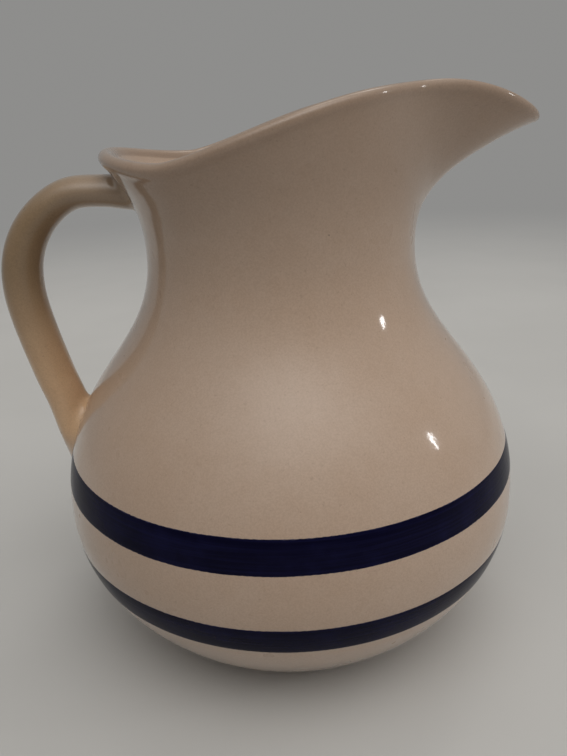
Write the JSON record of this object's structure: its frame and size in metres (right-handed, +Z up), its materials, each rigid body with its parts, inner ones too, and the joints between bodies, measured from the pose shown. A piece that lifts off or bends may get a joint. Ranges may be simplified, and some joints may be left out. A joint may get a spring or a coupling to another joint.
{
  "type": "stoneware pitcher",
  "caption": "Round-bellied stoneware pitcher with a flared collar, a broad pouring lip, a strap handle and blue slip bands round the belly, for holding and pouring drinks.",
  "frame": {"origin": "middle of the flat foot, on the axis of the round vessel", "axes": "+Z up along the vessel's axis, +X out along the spout, so the handle is on -X"},
  "size_m": [0.1961, 0.176, 0.2043],
  "materials": {
    "cream_glaze": "glossy cream glaze over buff stoneware, with fine dark specks",
    "luting_slip": "buff clay slip, glazed over where it shows",
    "blue_slip": "dark cobalt blue slip under the glossy glaze"
  },
  "bodies": {
    "root": {"body": "cream_glaze", "handle": "cream_glaze", "upper_joint_slip": "luting_slip", "lower_joint_slip": "luting_slip", "upper_band": "blue_slip", "lower_band": "blue_slip"}
  },
  "joints": []
}
